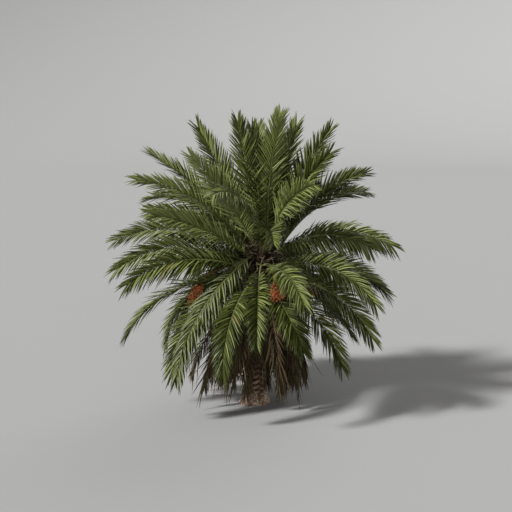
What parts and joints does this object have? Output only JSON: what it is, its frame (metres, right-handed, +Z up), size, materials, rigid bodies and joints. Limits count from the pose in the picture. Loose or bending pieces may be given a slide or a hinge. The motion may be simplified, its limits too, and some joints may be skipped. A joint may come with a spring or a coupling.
{
  "type": "young date palm",
  "caption": "Young feather-leaved date palm with a short flared trunk, a full globe of arching green fronds, a skirt of dead fronds and orange fruit bunches.",
  "frame": {"origin": "middle of the trunk's flat cut at ground level", "axes": "+Z up, +X to the right as pictured, -Y towards the viewer"},
  "size_m": [6.7821, 6.1566, 6.7868],
  "materials": {
    "bark": "rough brown trunk with rings of old leaf bases and fibre",
    "green_frond": "olive green leaflets with a soft waxy sheen",
    "dry_frond": "dry brown dead leaflets, matt",
    "fruit": "small orange fruit on yellow strands"
  },
  "bodies": {
    "root": {"dead_fronds_1": "dry_frond", "dead_fronds_2": "dry_frond", "dead_fronds_3": "dry_frond", "dead_fronds_4": "dry_frond", "dead_fronds_5": "dry_frond", "dead_fronds_6": "dry_frond", "frond_erect_1": "green_frond", "frond_erect_2": "green_frond", "frond_erect_3": "green_frond", "frond_erect_4": "green_frond", "frond_fall_1": "green_frond", "frond_fall_2": "green_frond", "frond_fall_3": "green_frond", "frond_fall_4": "green_frond", "frond_fall_5": "green_frond", "frond_hang_1": "green_frond", "frond_hang_2": "green_frond", "frond_hang_3": "green_frond", "frond_hang_4": "green_frond", "frond_hang_5": "green_frond", "frond_high_1": "green_frond", "frond_high_2": "green_frond", "frond_high_3": "green_frond", "frond_high_4": "green_frond", "frond_high_5": "green_frond", "frond_level_1": "green_frond", "frond_level_2": "green_frond", "frond_level_3": "green_frond", "frond_level_4": "green_frond", "frond_level_5": "green_frond", "frond_level_6": "green_frond", "frond_low_1": "green_frond", "frond_low_2": "green_frond", "frond_low_3": "green_frond", "frond_low_4": "green_frond", "frond_low_5": "green_frond", "frond_mid_1": "green_frond", "frond_mid_2": "green_frond", "frond_mid_3": "green_frond", "frond_mid_4": "green_frond", "frond_mid_5": "green_frond", "frond_mid_6": "green_frond", "frond_rising_1": "green_frond", "frond_rising_2": "green_frond", "frond_rising_3": "green_frond", "frond_rising_4": "green_frond", "frond_rising_5": "green_frond", "frond_spear_1": "green_frond", "frond_spear_2": "green_frond", "frond_spread_1": "green_frond", "frond_spread_2": "green_frond", "frond_spread_3": "green_frond", "frond_spread_4": "green_frond", "frond_spread_5": "green_frond", "fruit_1": "fruit", "fruit_2": "fruit", "fruit_3": "fruit", "fruit_4": "fruit", "fruit_5": "fruit", "trunk": "bark"}
  },
  "joints": []
}
